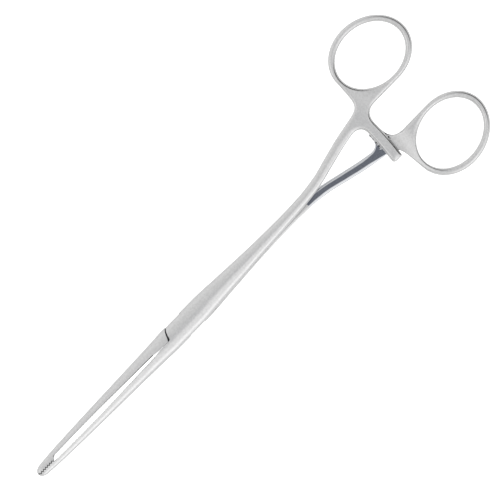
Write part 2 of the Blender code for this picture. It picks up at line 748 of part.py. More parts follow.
def ratchet_notches(name, first, teeth):
    """Saw-tooth notches in an arm's flat face, radial to the pin, steep on the side away from the ring."""
    bm = bmesh.new()
    reach = (ARM_INNER - 0.8 * MM, ARM_OUTER + 0.3 * MM)
    face = PARTING_Z - 0.3 * MM
    lip = PARTING_Z + SHANK_FLAT_GAP - 0.02 * MM
    root = PARTING_Z + SHANK_FLAT_GAP + RATCHET_DEPTH
    for i in range(teeth):
        start = (first + i * RATCHET_PITCH) / ARM_RADIUS
        steep = start + RATCHET_PITCH * 0.76 / ARM_RADIUS
        end = start + RATCHET_PITCH * 0.92 / ARM_RADIUS
        profile = [(start, face), (start, lip), (steep, root), (end, lip), (end, face)]
        loops = []
        for radius in reach:
            loops.append([bm.verts.new((radius * math.sin(a), radius * math.cos(a), z)) for a, z in profile])
        bm.faces.new(loops[0])
        bm.faces.new(loops[1])
        for j in range(len(profile)):
            k = (j + 1) % len(profile)
            bm.faces.new((loops[0][j], loops[0][k], loops[1][k], loops[1][j]))
    return finish(bm, name)


def steel(name):
    material = bpy.data.materials.new(name)
    material.use_nodes = True
    shader = material.node_tree.nodes["Principled BSDF"]
    shader.inputs["Base Color"].default_value = STEEL
    shader.inputs["Metallic"].default_value = 1.0
    shader.inputs["Roughness"].default_value = 0.32
    return material


JAW_STATIONS = [-JAW_REACH + NOSE * share for share in NOSE_STEPS]
JAW_STATIONS += stations(-JAW_REACH + NOSE, -JAW_ROOT, 12)
REAR_STATIONS = (
    stations(HEEL_END + 1.5 * MM, PAIR_WAIST, 7)
    + stations(PAIR_WAIST, SPLIT, 7)
    + stations(SPLIT, YOKE, 6)
    + [YOKE]
)


def box_half():
    """Finger ring, shank, long ratchet arm, box with its slot, and the jaw on the other side."""
    bm = bmesh.new()
    front = JAW_STATIONS + stations(-JAW_ROOT, LOCK_FLAT * 0.7, 6)
    heel = stations(LOCK_FLAT * 0.7, HEEL_END + 1.2 * MM, 9)
    loft(bm, [(y, True) for y in front + heel] + [(y, False) for y in REAR_STATIONS], False)
    handle(bm, BOX_ARM_REACH, ARM_INNER)
    half = finish(bm, "box_half")
    combine(half, prism("box_front_parting", front_parting(1), -MM, LOCK_HEIGHT + MM), "DIFFERENCE")
    slack = TONGUE_THICKNESS / 2 + SLIDE_CLEARANCE
    slot = prism("box_slot", polar_outline(slot_reach), PARTING_Z - slack, PARTING_Z + slack)
    combine(half, slot, "DIFFERENCE")
    heel_cut = heel_line(-SLIT_SHIFT)
    far = LOCK_WIDTH
    past_heel = HEEL_END + 4 * MM
    below = heel_cut + [(-far, HEEL_END), (-far, past_heel), (far, past_heel), (far, heel_cut[0][1])]
    room = prism("box_heel_parting", below, -MM, PARTING_Z + SHANK_FLAT_GAP - 0.02 * MM)
    combine(half, room, "DIFFERENCE")
    hole = cylinder("box_pin_hole", PIN_RADIUS + PIN_CLEARANCE, -MM, LOCK_HEIGHT - PIN_SKIN)
    combine(half, hole, "DIFFERENCE")
    notches = ratchet_notches("box_ratchet_notches", BOX_RATCHET_START, BOX_RATCHET_TEETH)
    combine(half, notches, "DIFFERENCE")
    return half


def tongue_half():
    """Finger ring, shank, short ratchet arm, the tongue in the box's slot, and the jaw on the other side."""
    turn = Matrix.Translation((0, 0, PARTING_Z)) @ Matrix.Rotation(math.pi, 4, "Y")
    turn = turn @ Matrix.Translation((0, 0, -PARTING_Z))
    bm = bmesh.new()
    heel = stations(LOCK_FLAT * 0.4, HEEL_END + 1.5 * MM, 9)
    loft(bm, [(y, False) for y in heel + REAR_STATIONS], False)
    handle(bm, TONGUE_ARM_REACH, ARM_INNER - TONGUE_ARM_EXTRA)
    bmesh.ops.transform(bm, matrix=turn, verts=bm.verts)
    half = finish(bm, "tongue_half")
    far = LOCK_WIDTH
    heel_cut = heel_line(SLIT_SHIFT)
    before = heel_cut + [(-far, HEEL_END), (-far, -far), (far, -far), (far, heel_cut[0][1])]
    combine(half, prism("tongue_heel_parting", before, -MM, LOCK_HEIGHT + MM), "DIFFERENCE")
    notches = ratchet_notches("tongue_ratchet_notches", TONGUE_RATCHET_START, TONGUE_RATCHET_TEETH)
    combine(half, notches, "DIFFERENCE")
    notches.data.transform(turn)
    jaw_bm = bmesh.new()
    front = JAW_STATIONS + stations(-JAW_ROOT, 0, 5) + [0.0]
    loft(jaw_bm, [(y, True) for y in front], True)
    jaw = finish(jaw_bm, "tongue_jaw")
    combine(jaw, prism("tongue_front_parting", front_parting(-1), -MM, LOCK_HEIGHT + MM), "DIFFERENCE")
    combine(half, jaw, "UNION")
    half_thickness = TONGUE_THICKNESS / 2
    plate = polar_outline(tongue_reach)
    tongue = prism("tongue_plate", plate, PARTING_Z - half_thickness, PARTING_Z + half_thickness)
    combine(half, tongue, "UNION")
    hole = cylinder("tongue_pin_hole", PIN_RADIUS + PIN_CLEARANCE, 0, LOCK_HEIGHT)
    combine(half, hole, "DIFFERENCE")
    return half


def lock_pin():
    """Pin of the lock, flush with the underside."""
    return cylinder("lock_pin", PIN_RADIUS, 0, LOCK_HEIGHT - PIN_SKIN - PIN_CLEARANCE)


for old in list(bpy.data.objects):
    bpy.data.objects.remove(old, do_unlink=True)

for piece in (box_half(), tongue_half(), lock_pin()):
    shape_booleans(piece)
    piece.data.materials.clear()
    piece.data.materials.append(steel(piece.name + "_steel"))
    smooth(piece.data)
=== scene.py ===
"""Looks of the uterine clamp: satin steel on a white table, seen from straight above."""

import math

import bmesh
import bpy
import numpy as np
from mathutils import Matrix, Vector
from mathutils.geometry import delaunay_2d_cdt


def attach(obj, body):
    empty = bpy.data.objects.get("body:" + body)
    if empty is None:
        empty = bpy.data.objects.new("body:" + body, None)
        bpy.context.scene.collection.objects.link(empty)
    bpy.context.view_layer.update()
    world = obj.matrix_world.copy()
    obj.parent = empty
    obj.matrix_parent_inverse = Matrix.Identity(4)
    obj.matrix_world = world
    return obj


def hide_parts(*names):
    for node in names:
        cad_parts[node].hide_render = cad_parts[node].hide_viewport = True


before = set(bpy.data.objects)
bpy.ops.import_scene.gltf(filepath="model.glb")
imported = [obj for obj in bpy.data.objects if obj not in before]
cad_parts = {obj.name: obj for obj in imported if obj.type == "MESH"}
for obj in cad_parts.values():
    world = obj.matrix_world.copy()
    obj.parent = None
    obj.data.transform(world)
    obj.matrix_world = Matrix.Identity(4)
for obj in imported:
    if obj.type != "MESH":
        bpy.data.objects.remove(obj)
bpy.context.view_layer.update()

MM = 0.001

# The photograph's view: from straight above, with the clamp lying diagonally across a square picture
VIEW_WIDTH = 208.0 * MM
VIEW_CENTRE = (-2.31 * MM, 41.1 * MM)
VIEW_TURN = 44.3  # degrees
CAMERA_DISTANCE = 6.0
CAMERA_CLIP = (0.1, 20.0)
SENSOR = 36.0

# Floor
FLOOR_SIZE = 4.0
FLOOR_GAP = 0.02 * MM  # below the clamp
FLOOR_GREY = 0.45
FLOOR_GLOW = 0.5  # the floor's own white
FLOOR_GLOW_CAMERA = 0.68  # added to it for the camera
FLOOR_GLOW_METAL = 0.1  # added to it for the metal

# The room as the steel sees it: a plain surround with soft-edged patches laid over it in turn.
# Each is azimuth in the picture, elevation, angle where it is full, angle where it ends, colour
SURROUND = 0.92
PATCHES = [
    (330, 66, 10, 34, (1.2, 1.2, 1.2)),
    (50, 22, 22, 56, (0.1, 0.1, 0.1)),
    (315, 12, 8, 36, (1.6, 1.6, 1.6)),
    (140, 8, 15, 36, (1.05, 1.05, 1.05)),
    (200, 32, 12, 30, (1.3, 1.3, 1.3)),
    (225, 0, 10, 30, (0.5, 0.5, 0.5)),
    (0, 90, 3, 7, (0.2, 0.215, 0.25)),  # the camera's own dark, straight above
]

# Steel
MOTTLE = 0.08  # share by which the grain lightens and darkens
MOTTLE_NOISE = (1400, 3)  # scale and detail
DULL_NOISE = (300, 2)
GRAIN_NOISE = (6000, 2)
NOISE_RANGE = (0.3, 0.7)  # nearly all of a noise lies between these
# Painted shade: the steel's colour is darkened in crevices, in the lock's slit, between teeth and in corners
# between parts, as far as ambient occlusion finds them shut in
CREVICE_WIDTH = 1.6 * MM
CREVICE_DARK = 0.32  # a place this shut in is fully dark
CREVICE_CLEAR = 0.62  # one this open isn't darkened
CREVICE_SHADE_COLOR = (0.02, 0.02, 0.022, 1)
CREVICE_SAMPLES = 8
EDGE_BREAK = 0.06 * MM
EDGE_SAMPLES = 4
SATIN = {"color": (0.62, 0.62, 0.62), "roughness": 0.3, "bump_depth": 0.004 * MM}
POLISHED = {"color": (0.6, 0.61, 0.63), "roughness": 0.08, "bump_depth": 0.0003 * MM}
ROUGHNESS_SPREAD = 0.02
POLISH_START = 71.0 * MM  # the facing sides of the shanks are polished from here to the ratchet arms

# Lock
LOCK_WIDTH = 10.4 * MM
LOCK_HEIGHT = 7.8 * MM
LOCK_FLAT = 8.5 * MM  # the full section reaches this far in front of and behind the pin
LOCK_EDGE_ROLL = 4.4 * MM  # width of the rounded flank on each side
PARTING_Z = LOCK_HEIGHT / 2
PIN_RADIUS = 1.5 * MM
PIN_CLEARANCE = 0.1 * MM
PIN_CHAMFER = 0.12 * MM
PIN_SKIN = 0.9 * MM  # the pin's hole is blind: this much of the upper plate covers it
TONGUE_THICKNESS = 2.3 * MM
TONGUE_RADIUS = 3.9 * MM
TONGUE_LOBE = 14.0 * MM  # how far the tongue reaches into the jaw and into the shank
TONGUE_SIDE = 0.25 * MM  # the tongue's flank stays this far inside the lock's
SLIDE_CLEARANCE = 0.15 * MM
SLOT_SWEEP_MARGIN = 1.5  # degrees past each end of the range
OPENING = 40.0  # degrees that the halves open

# Front shoulder of the lock in plan, from the flank to the clamp's axis, in shares of the lock's width
SHOULDER = [
    (-0.56, -0.64),
    (-0.46, -0.66),
    (-0.35, -0.755),
    (-0.23, -0.812),
    (-0.13, -0.846),
    (-0.05, -0.878),
    (0.0, -0.94),
]
SLIT_SHIFT = 0.16 * MM  # each side of the slit moves this far from the shoulder line, along x and along y
SLIT_SHARES = (0.9, 1.0, 1.2, 1.5, 1.9, 2.0, 1.2)  # the slit opens up towards its inner end

# Jaws
JAW_REACH = 87.2 * MM
JAW_ROOT = 16.6 * MM
JAW_ROOT_WIDTH = 9.75 * MM
JAW_MIDDLE_WIDTH = 7.4 * MM  # three fifths of the way from root to tip
JAW_MIDDLE_HEIGHT = 5.4 * MM
NOSE = 4.0 * MM  # length of the rounded end
NOSE_BLUNTNESS = 2.3  # 2 is an ellipse, more is blunter
NOSE_WIDTH = 5.0 * MM
NOSE_HEIGHT = 4.1 * MM
JAW_SEAM = 0.04 * MM  # half the gap between the closed jaws at their roots
JAW_BOW = 1.0 * MM  # half the gap between the closed jaws at its widest
BOW_START = 14.8 * MM
TIP_TEETH = 7
TIP_TOOTH_PITCH = 1.22 * MM
TIP_TOOTH_DEPTH = 0.7 * MM
TIP_TOOTH_OFFSET = 0.25 * MM  # the tooth line lies this far towards the box half's jaw
TIP_TOOTH_GAP = 0.42 * MM
TIP_TOOTH_FOOT_GAP = 0.04 * MM  # the teeth nearly meet below this height
TIP_TOOTH_FOOT = PARTING_Z + 0.2 * MM
SERRATION_PITCH = 0.9 * MM
SERRATION_DEPTH = 0.14 * MM
JAW_EDGE_WIDTH = {1: 0.22 * MM, -1: 0.42 * MM}  # bevel of the inner edge: box half's jaw, tongue half's jaw
JAW_EDGE_HEIGHT = 1.4 * MM

# Shanks
PAIR_WIDTH = 6.14 * MM  # both shanks together where they are narrowest
SPLIT_BEFORE_RING = 53.6 * MM  # the shanks part this far before the middle of the rings
SHANK_WIDTH = 4.6 * MM
SHANK_RISE = 3.2 * MM  # height of a shank above the parting plane
SHANK_FLAT_GAP = 0.15 * MM  # each flat face keeps this distance to the parting plane
ROLL_SHARE = 0.46  # a half's upper edges are rounded over at most this share of its width
FACING_ROLL_SHARE = 0.24  # and a shank's facing side over this share, where the shanks are apart
FACING_EDGE = 0.5 * MM  # height and width of the facing side's rounded edge elsewhere
FACE_OVERLAP = 0.02 * MM  # cuts beside a flat face stop this far short of it
SHANK_CROWN = 1.3 * MM  # where the shanks are apart, their facing sides are rounded off over this height
HEEL_END = 34.0 * MM  # the box's heel, beside the tongue half's shank, ends here
YOKE_BEFORE_RING = 34.2 * MM  # from here on the handle is drawn from its plan outline
YOKE_SPREAD = 6.8 * MM  # middle of the shank from the clamp's axis there
YOKE_LEAN = 0.18  # the shanks lean apart by this much for each unit of length there
YOKE_LENGTH = 8.6 * MM  # straight part of the shank's outer edge past the yoke
BEND_PULL = 7.4 * MM  # how slowly that edge bends away

# Finger rings
RING_OPENING = (25.4 * MM, 31.6 * MM)
RING_LEAN = 6.2  # degrees that the opening's far end leans towards the clamp's axis
RING_BAND = (2.6 * MM, 2.75 * MM)  # at the ring's sides and ends
RIM_LEAN = 11.0  # the outer edge leans more than the opening
RIM_SHIFT = (-0.3 * MM, 0.3 * MM)  # middle of the outer edge from the middle of the opening
RING_SPREAD = 23.2 * MM
RING_DISTANCE = 134.0 * MM
RING_THICKNESS = 4.2 * MM
RING_ROLL = 1.25 * MM
RING_STRAIGHT = 12.5 * MM  # the ring's inner side runs straight this far before its middle
LANDING_ANGLE = 275  # degrees round the ring where the shank's outer edge meets it
LANDING_PULL = 12.6 * MM

# Ratchet
ARM_BEFORE_RING = 21.35 * MM  # the arms are arcs this far before the middle of the rings
ARM_WIDTH = 5.0 * MM
ARM_SHIFT = 3.5 * MM  # the middle of each arm's arc lies this far from the pin, towards its own ring
TONGUE_ARM_EXTRA = 0.6 * MM  # the tongue half's arm is this much wider, towards the pin
ARM_RISE = 2.5 * MM
ARM_CORNERS = (0.6 * MM, 1.5 * MM)  # outer and inner corner of an arm's end
ARM_FILLET = 5.8 * MM  # between ring and arm
WINDOW_STRAIGHT = 4.6 * MM  # straight part of the shank's inner edge past the yoke
WINDOW_FILLET = 4.0 * MM  # between shank and arm
BOX_ARM_REACH = 15.5 * MM  # past the clamp's axis
TONGUE_ARM_REACH = 1.0 * MM
ARM_ROLL = 1.1 * MM
RATCHET_PITCH = 1.9 * MM
RATCHET_DEPTH = 0.6 * MM
BOX_RATCHET_TEETH = 6
TONGUE_RATCHET_TEETH = 4
BOX_RATCHET_START = 0.6 * MM  # first tooth's place past the clamp's axis, seen from the arm's own ring
TONGUE_RATCHET_START = -7.4 * MM

# How finely the round surfaces are divided
ROLL_STEPS = tuple(1 - math.cos(math.pi / 20 * i) for i in range(11))
NOSE_STEPS = tuple(0.002 + 0.998 * (i / 18) ** 2 for i in range(18))
JAW_STEPS = 48
JAW_ROOT_STEPS = {1: 20, -1: 18}  # box half's jaw, tongue half's jaw
HEEL_STEPS = 30
WAIST_STEPS = 24
SHANK_STEPS = 20
JAW_EDGE_STEPS = 40
YOKE_STEPS = 10
BEND_STEPS = 36
RIM_STEPS = 126
RING_SIDE_STEPS = 15
ARM_FILLET_STEPS = 20
WINDOW_FILLET_STEPS = 18
WINDOW_STEPS = 6
HEEL_LINE_STEPS = 8
CORNER_TURNS = (75, 60, 45, 30, 15, 0)
OUTLINE_STEP = 0.8 * MM
WEB_STEP = 0.8 * MM
POINT_SPACING = [(0.03, 0.01 * MM), (0.3, 0.03 * MM), (math.inf, 0.1 * MM)]  # for roll steps below each limit
RING_SEGMENTS = 132
PIN_SEGMENTS = 96
SLOT_STEP = 2  # degrees
DISC_STEP = 10  # degrees
WELD = 0.001 * MM
SHARP_ANGLE = 30  # degrees


def monotone(knots):
    """A smooth curve through (place, value) knots that never overshoots them."""
    places = np.array([k[0] for k in knots])
    values = np.array([k[1] for k in knots])
    steps = np.diff(places)
    slopes = np.diff(values) / steps
    tangents = np.zeros(len(knots))
    for i in range(1, len(knots) - 1):
        if slopes[i - 1] * slopes[i] > 0:
            w1 = 2 * steps[i] + steps[i - 1]
            w2 = steps[i] + 2 * steps[i - 1]
            tangents[i] = (w1 + w2) / (w1 / slopes[i - 1] + w2 / slopes[i])

    def value(place):
        place = min(max(place, places[0]), places[-1])
        i = min(int(np.searchsorted(places, place, side="right")) - 1, len(steps) - 1)
        i = max(i, 0)
        t = (place - places[i]) / steps[i]
        start = (2 * t**3 - 3 * t**2 + 1) * values[i] + (t**3 - 2 * t**2 + t) * steps[i] * tangents[i]
        end = (3 * t**2 - 2 * t**3) * values[i + 1] + (t**3 - t**2) * steps[i] * tangents[i + 1]
        return float(start + end)

    return value


def between(a, b, share):
    return a + (b - a) * share


def stations(start, end, count):
    return [between(start, end, i / count) for i in range(count)]


# Places along the clamp that follow from the sizes above
FACING_START = LOCK_FLAT * 0.7  # from here back the halves have facing sides
JAW_MIDDLE = between(JAW_ROOT, JAW_REACH, 0.615)
SPLIT = RING_DISTANCE - SPLIT_BEFORE_RING
PAIR_WAIST = between(LOCK_FLAT, SPLIT, 0.716)
YOKE = RING_DISTANCE - YOKE_BEFORE_RING
ARM_RADIUS = RING_DISTANCE - ARM_BEFORE_RING

# Plan edges and heights along the clamp, as smooth curves through the named sizes
SPLIT_OUTER = SHANK_WIDTH * 0.96
outer_edge = monotone(
    [
        (-JAW_REACH, NOSE_WIDTH / 2),
        (-JAW_REACH + NOSE * 3, between(NOSE_WIDTH, JAW_MIDDLE_WIDTH, 0.55) / 2),
        (-JAW_MIDDLE, JAW_MIDDLE_WIDTH / 2),
        (-JAW_ROOT, JAW_ROOT_WIDTH / 2),
        (-LOCK_FLAT, LOCK_WIDTH / 2),
        (LOCK_FLAT, LOCK_WIDTH / 2),
        (between(LOCK_FLAT, PAIR_WAIST, 0.32), between(LOCK_WIDTH, PAIR_WIDTH, 0.4) / 2),
        (between(LOCK_FLAT, PAIR_WAIST, 0.64), between(LOCK_WIDTH, PAIR_WIDTH, 0.8) / 2),
        (PAIR_WAIST, PAIR_WIDTH / 2),
        (between(PAIR_WAIST, SPLIT, 0.5), between(PAIR_WIDTH / 2, SPLIT_OUTER, 0.17)),
        (SPLIT, SPLIT_OUTER),
        (between(SPLIT, YOKE, 0.5), between(SPLIT_OUTER, YOKE_SPREAD + SHANK_WIDTH / 2, 0.5)),
        (YOKE, YOKE_SPREAD + SHANK_WIDTH / 2),
        (YOKE + YOKE_LENGTH, YOKE_SPREAD + SHANK_WIDTH / 2 + YOKE_LEAN * YOKE_LENGTH),
    ]
)
inner_edge = monotone(
    [
        (FACING_START, LOCK_WIDTH / 2),
        (between(LOCK_FLAT, PAIR_WAIST, 0.15), LOCK_WIDTH / 2 * 0.86),
        (between(LOCK_FLAT, PAIR_WAIST, 0.32), LOCK_WIDTH / 2 * 0.74),
        (between(LOCK_FLAT, PAIR_WAIST, 0.64), PAIR_WIDTH / 2 * 0.91),
        (PAIR_WAIST, PAIR_WIDTH / 2 * 0.62),
        (between(PAIR_WAIST, SPLIT, 0.6), PAIR_WIDTH / 2 * 0.36),
        (SPLIT, 0.0),
        (between(SPLIT, YOKE, 0.5), -(YOKE_SPREAD - SHANK_WIDTH / 2) * 0.5),
        (YOKE, -(YOKE_SPREAD - SHANK_WIDTH / 2)),
        (YOKE + YOKE_LENGTH, -(YOKE_SPREAD - SHANK_WIDTH / 2) - YOKE_LEAN * YOKE_LENGTH),
    ]
)
RING_RIM = (RING_OPENING[0] + 2 * RING_BAND[0], RING_OPENING[1] + 2 * RING_BAND[1])
ARM_OUTER = ARM_RADIUS + ARM_WIDTH / 2
ARM_INNER = ARM_RADIUS - ARM_WIDTH / 2
RAMP_START = ARM_OUTER + 0.4 * MM
RAMP_END = ARM_OUTER + 8.5 * MM
rise_above = monotone(
    [
        (-JAW_REACH, NOSE_HEIGHT / 2),
        (-JAW_MIDDLE, JAW_MIDDLE_HEIGHT / 2),
        (-LOCK_FLAT, PARTING_Z),
        (LOCK_FLAT, PARTING_Z),
        (between(LOCK_FLAT, PAIR_WAIST, 0.7), between(PARTING_Z, SHANK_RISE, 0.85)),
        (SPLIT, SHANK_RISE),
        (ARM_INNER, ARM_RISE),
        (RAMP_START, ARM_RISE),
        (RAMP_END, RING_THICKNESS / 2),
    ]
)
drop_below = monotone([(RAMP_START, -SHANK_FLAT_GAP), (RAMP_END, RING_THICKNESS / 2)])
widest_level = monotone(
    [
        (SPLIT - 9 * MM, SHANK_FLAT_GAP + FACING_EDGE),
        (SPLIT, SHANK_FLAT_GAP + SHANK_CROWN),
        (YOKE, SHANK_FLAT_GAP + SHANK_CROWN),
        (ARM_INNER, SHANK_FLAT_GAP + FACING_EDGE),
        (RAMP_START, SHANK_FLAT_GAP + FACING_EDGE),
        (RAMP_END, 0.0),
    ]
)
flat_edge_roll = monotone(
    [
        (HEEL_END + 4 * MM, 0.35 * MM),
        (SPLIT - 30 * MM, 0.8 * MM),
        (SPLIT, SHANK_WIDTH * FACING_ROLL_SHARE),
        (YOKE, SHANK_WIDTH * FACING_ROLL_SHARE),
        (ARM_INNER, FACING_EDGE),
        (RAMP_START, FACING_EDGE),
        (RAMP_END, RING_ROLL),
    ]
)
edge_roll = monotone(
    [
        (between(SPLIT, YOKE, 0.8), SHANK_WIDTH * ROLL_SHARE),
        (ARM_INNER, ARM_ROLL * 1.2),
        (ARM_RADIUS, ARM_ROLL),
        (ARM_OUTER, ARM_ROLL),
        (RAMP_END, RING_ROLL),
    ]
)


def nose(y):
    """Share of the full width and height that the rounded end of the jaws has at y."""
    share = min((y + JAW_REACH) / NOSE, 1.0)
    return (1 - (1 - share) ** NOSE_BLUNTNESS) ** (1 / NOSE_BLUNTNESS)


def rolled(share):
    """Height of a rounded edge, as a share of its full height, at a share of its width from the outline."""
    return math.sqrt(max(0.0, 1 - (1 - min(share, 1.0)) ** 2))


def levels(place, inset, top_roll, bottom_roll, below, middle):
    """Upper and lower surface of a half at a distance from its outline."""
    above = rise_above(place) * nose(place)
    top = PARTING_Z + middle + (above - middle) * rolled(inset / top_roll)
    bottom = PARTING_Z + middle - (below + middle) * rolled(inset / bottom_roll)
    return top, bottom


def section(y, whole):
    """Loop of (x, z) around a half at y. A whole section reaches down to the underside of the lock."""
    left = -outer_edge(y) * nose(y)
    right = -left if y < FACING_START else inner_edge(y)
    width = right - left
    top_roll = min(LOCK_EDGE_ROLL, width * ROLL_SHARE)
    if y > SPLIT:
        top_roll = min(top_roll, edge_roll(y))
    if whole:
        heel = min(max((y - LOCK_FLAT) / (HEEL_END - LOCK_FLAT), 0.0), 1.0)
        below, middle, bottom_roll = rise_above(y) * nose(y), widest_level(y) * heel, top_roll
    else:
        below, middle, bottom_roll = drop_below(y), widest_level(y), flat_edge_roll(y)
    insets = [step * top_roll for step in ROLL_STEPS]
    heights = [levels(y, inset, top_roll, bottom_roll, below, middle) for inset in insets]
    loop = [(left + d, h[0]) for d, h in zip(insets, heights)]
    loop += [(right - d, h[0]) for d, h in zip(reversed(insets), reversed(heights))]
    loop += [(right - d, h[1]) for d, h in zip(insets[1:], heights[1:])]
    loop += [(left + d, h[1]) for d, h in zip(reversed(insets[1:]), reversed(heights[1:]))]
    return loop


def skin(bm, loops, closed_end=True):
    """Joins loops of equal length in turn, with a face over the first and, if closed_end, the last."""
    for first, second in zip(loops, loops[1:]):
        count = len(first)
        for i in range(count):
            j = (i + 1) % count
            bm.faces.new((first[i], first[j], second[j], second[i]))
    bm.faces.new(loops[0])
    if closed_end:
        bm.faces.new(loops[-1])


def loft(bm, places, closed_end):
    """Skins sections along y, from (y, whole) places."""
    loops = []
    for y, whole in places:
        loops.append([bm.verts.new((x, y, z)) for x, z in section(y, whole)])
    skin(bm, loops, closed_end)


def bezier(start, start_pull, end_pull, end, count):
    """Points after start along a cubic curve, up to and including end."""
    points = []
    for i in range(1, count + 1):
        t = i / count
        a, b, c, d = (1 - t) ** 3, 3 * t * (1 - t) ** 2, 3 * t * t * (1 - t), t**3
        x = a * start[0] + b * start_pull[0] + c * end_pull[0] + d * end[0]
        y = a * start[1] + b * start_pull[1] + c * end_pull[1] + d * end[1]
        points.append((x, y))
    return points


def on_arc(radius, x):
    return (x, math.sqrt(radius**2 - x**2))


def on_arm(radius, x):
    return (x, math.sqrt(radius**2 - (x + ARM_SHIFT) ** 2))


def ring_point(size, lean, shift, degrees):
    """Point of a ring's ellipse, whose far end leans towards the clamp's axis."""
    angle = math.radians(degrees)
    turn = math.radians(lean)
    x = size[0] / 2 * math.cos(angle)
    y = size[1] / 2 * math.sin(angle)
    return (
        -RING_SPREAD + shift[0] + x * math.cos(turn) + y * math.sin(turn),
        RING_DISTANCE + shift[1] + y * math.cos(turn) - x * math.sin(turn),
    )


def corner(middle, radius, turns):
    """Points of a rounded corner at angles in degrees."""
    points = []
    for degrees in turns:
        angle = math.radians(degrees)
        points.append((middle[0] + radius * math.cos(angle), middle[1] + radius * math.sin(angle)))
    return points


def rim_point(degrees):
    return ring_point(RING_RIM, RIM_LEAN, RIM_SHIFT, degrees)


def opening_point(degrees):
    return ring_point(RING_OPENING, RING_LEAN, (0, 0), degrees)


def handle_outline(arm_reach, arm_inner):
    """Plan outline of yoke, ring and ratchet arm, from the shank's outer edge round to its inner edge."""
    start = (-outer_edge(YOKE), YOKE)
    bend = (start[0] - YOKE_LEAN * YOKE_LENGTH, YOKE + YOKE_LENGTH)
    outline = []
    for i in range(YOKE_STEPS + 1):
        share = i / YOKE_STEPS
        outline.append((between(start[0], bend[0], share), between(YOKE, bend[1], share)))
    landing = rim_point(LANDING_ANGLE)
    past_landing = rim_point(LANDING_ANGLE + 1)
    slope = (past_landing[1] - landing[1]) / (past_landing[0] - landing[0])
    outline += bezier(
        bend,
        (bend[0] - YOKE_LEAN * BEND_PULL, bend[1] + BEND_PULL),
        (landing[0] + LANDING_PULL, landing[1] + LANDING_PULL * slope),
        landing,
        BEND_STEPS,
    )
    side_angle = math.degrees(math.atan(RING_RIM[1] / RING_RIM[0] * math.tan(math.radians(RIM_LEAN))))
    for i in range(1, RIM_STEPS + 1):
        outline.append(rim_point(between(LANDING_ANGLE, side_angle, i / RIM_STEPS)))
    inner_side, straight_start = outline[-1]
    straight_end = (inner_side, RING_DISTANCE - RING_STRAIGHT)
    for i in range(1, RING_SIDE_STEPS):
        outline.append((inner_side, between(straight_start, straight_end[1], i / RING_SIDE_STEPS)))
    outline.append(straight_end)
    arm_top = on_arm(ARM_OUTER, inner_side + ARM_FILLET)
    outline += bezier(
        straight_end,
        (inner_side, straight_end[1] - ARM_FILLET * 0.8),
        (arm_top[0] - ARM_FILLET * 0.6, arm_top[1] + 0.3 * MM),
        arm_top,
        ARM_FILLET_STEPS,
    )
    run_end = arm_reach - ARM_CORNERS[0]
    count = max(1, round((run_end - arm_top[0]) / OUTLINE_STEP))
    for i in range(1, count + 1):
        outline.append(on_arm(ARM_OUTER, between(arm_top[0], run_end, i / count)))
    outline += corner(on_arm(ARM_OUTER - ARM_CORNERS[0], run_end), ARM_CORNERS[0], CORNER_TURNS)
    run_end = arm_reach - ARM_CORNERS[1]
    turns = [-turn for turn in reversed(CORNER_TURNS)]
    outline += corner(on_arm(arm_inner + ARM_CORNERS[1], run_end), ARM_CORNERS[1], turns)
    window_side = inner_edge(YOKE) - YOKE_LEAN * WINDOW_STRAIGHT
    window_top = on_arm(arm_inner, window_side + WINDOW_FILLET)
    count = max(1, round((run_end - window_top[0]) / OUTLINE_STEP))
    for i in range(count + 1):
        outline.append(on_arm(arm_inner, between(run_end, window_top[0], i / count)))
    side = (window_side, YOKE + WINDOW_STRAIGHT)
    pull = WINDOW_FILLET * 0.8
    outline += bezier(
        window_top,
        (window_top[0] - pull, window_top[1]),
        (side[0] - YOKE_LEAN * pull, side[1] + pull),
        side,
        WINDOW_FILLET_STEPS,
    )
    for i in range(1, WINDOW_STEPS):
        share = i / WINDOW_STEPS
        outline.append((between(side[0], inner_edge(YOKE), share), between(side[1], YOKE, share)))
    outline.append((inner_edge(YOKE), YOKE))
    return outline


def segment_distance(point, starts, ends):
    """Least distance from a point to many segments."""
    along = ends - starts
    share = ((point - starts) * along).sum(axis=1) / (along**2).sum(axis=1)
    nearest = starts + along * np.clip(share, 0, 1)[:, None]
    return float(np.sqrt(((point - nearest) ** 2).sum(axis=1)).min())


def inside(point, loops):
    """Even-odd test against closed loops of points."""
    x, y = point
    odd = False
    for loop in loops:
        for (x1, y1), (x2, y2) in zip(loop, loop[1:] + loop[:1]):
            if (y1 > y) != (y2 > y) and x < x1 + (y - y1) / (y2 - y1) * (x2 - x1):
                odd = not odd
    return odd


def inset_rows(loop, closed, distance, taken):
    """Rows of points at the roll's steps inside an outline that has the material on its right-hand side."""
    rows = []
    count = len(loop)
    indices = range(count) if closed else range(1, count - 1)
    for step in ROLL_STEPS[1:]:
        least = next(spacing for limit, spacing in POINT_SPACING if step < limit)
        row = []
        for i in indices:
            before, here, after = (np.array(loop[(i + k) % count]) for k in (-1, 0, 1))
            first = (here - before) / np.linalg.norm(here - before)
            second = (after - here) / np.linalg.norm(after - here)
            along = (first + second) / np.linalg.norm(first + second)
            normal = np.array((along[1], -along[0]))
            inset = step * edge_roll(math.hypot(*here))
            point = here + normal * inset
            free = distance(point) > inset * 0.95 and point[1] > YOKE + 0.3 * MM
            if free and len(taken):
                free = np.hypot(*(np.array(taken) - point).T).min() > least
            row.append(tuple(point) if free else None)
            if free:
                taken.append(tuple(point))
        rows.append(row)
    return rows


